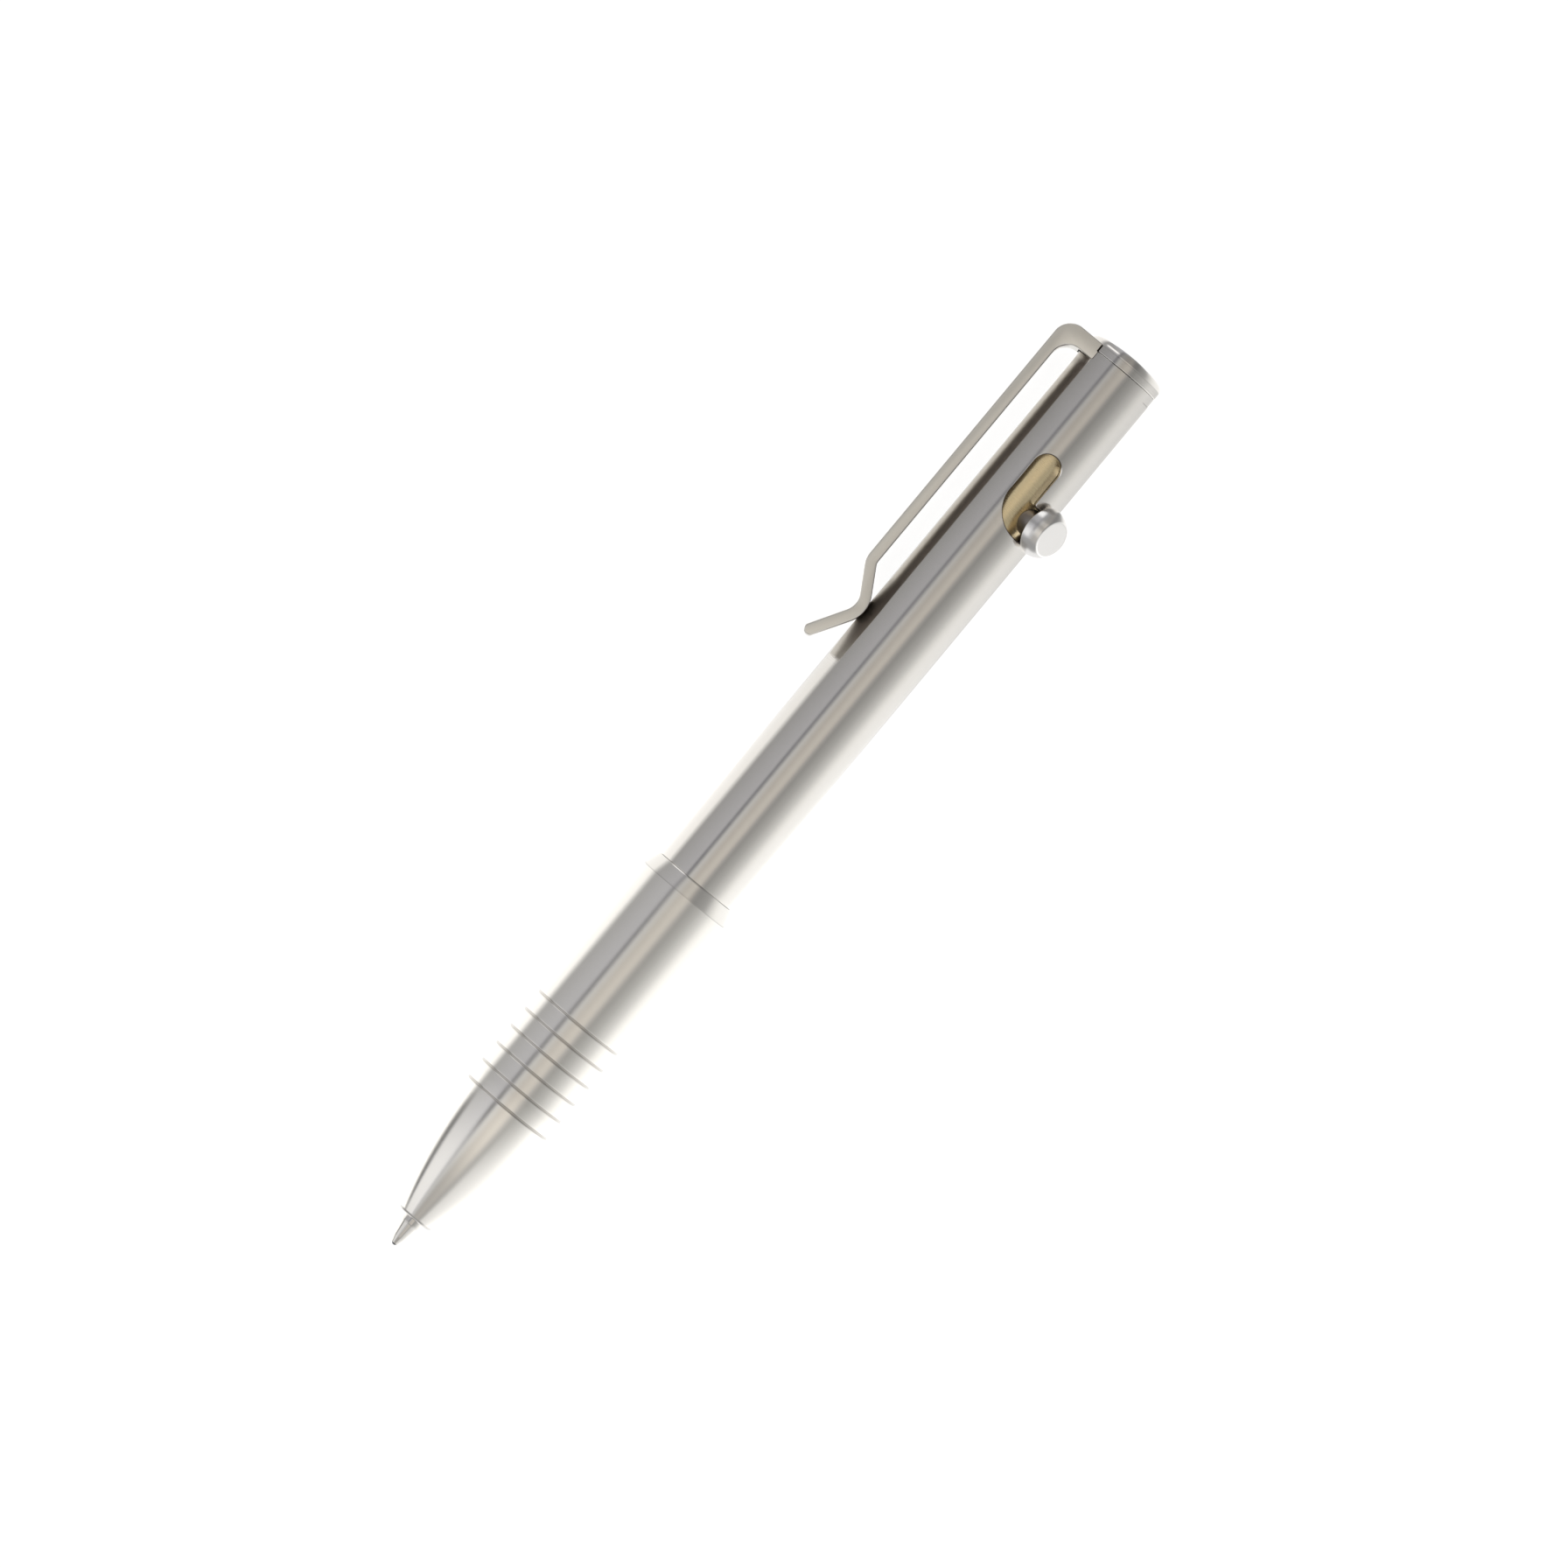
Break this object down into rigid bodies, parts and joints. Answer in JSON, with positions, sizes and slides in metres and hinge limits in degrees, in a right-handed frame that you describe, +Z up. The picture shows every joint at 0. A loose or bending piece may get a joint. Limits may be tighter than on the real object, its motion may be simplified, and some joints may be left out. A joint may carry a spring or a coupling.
{
  "type": "bolt action pen",
  "caption": "Turned titanium ballpoint pen with a bolt that slides and turns in a J-shaped slot to lock the tip out, a milled pocket clip and an unscrewing grip.",
  "frame": {"origin": "middle of the pen's footprint, on the surface that it lies on", "axes": "+X along the pen's axis from the writing tip to the end cap, +Z up, +Y to the side that the pocket clip is on; the bolt handle is on the -Y side"},
  "size_m": [0.1246, 0.0156, 0.0127],
  "materials": {
    "titanium_grip": "turned titanium, fine turning lines, six narrow grooves",
    "titanium_barrel": "turned titanium, fine turning lines",
    "titanium_cap": "turned titanium, polished to the rim",
    "titanium_clip": "milled titanium, tumbled, bright bevels",
    "brass_carrier": "plain turned brass, slightly dulled",
    "steel_handle": "polished steel with a faced end",
    "refill_steel": "drawn stainless tube",
    "point_steel": "turned steel point, bright",
    "plug_plastic": "moulded black plastic",
    "ball_carbide": "ground carbide ball",
    "spring_steel": "bright drawn spring wire"
  },
  "bodies": {
    "barrel_body": {"barrel": "titanium_barrel", "end_cap": "titanium_cap", "pocket_clip": "titanium_clip"},
    "refill_body": {"refill_tube": "refill_steel", "refill_plug": "plug_plastic", "refill_point": "point_steel"},
    "bolt_body": {"bolt_carrier": "brass_carrier", "bolt_handle": "steel_handle"},
    "ball_body": {"writing_ball": "ball_carbide"},
    "spring_body": {"return_spring": "spring_steel"},
    "grip_body": {"grip_section": "titanium_grip"}
  },
  "joints": [
    {"name": "bolt_slide", "type": "slide", "parent": "barrel_body", "child": "refill_body", "axis": [1, 0, 0], "range_m": [-0.0005, 0], "stiffness_N_per_m": 250, "springref_m": 0.004, "deforming": ["return_spring"]},
    {"name": "bolt_turn", "type": "hinge", "parent": "refill_body", "child": "bolt_body", "pos_m": [0.03947, -0.00141, 0.00557], "axis": [1, 0, 0], "range_deg": [-31.5, 0]},
    {"name": "ball_roll", "type": "hinge", "parent": "refill_body", "child": "ball_body", "pos_m": [-0.06198, -0.00141, 0.00557], "axis": [0, 1, 0], "continuous": true},
    {"name": "grip_advance", "type": "slide", "parent": "barrel_body", "child": "spring_body", "axis": [-1, 0, 0], "range_m": [0, 0.00525], "deforming": ["return_spring"]},
    {"name": "grip_unscrew", "type": "hinge", "parent": "spring_body", "child": "grip_body", "pos_m": [-0.01654, -0.00141, 0.00557], "axis": [-1, 0, 0], "range_deg": [0, 2520]}
  ],
  "couplings": [
    {"joint": "grip_unscrew", "follows": "grip_advance", "rad_per_m": 8377.6}
  ]
}
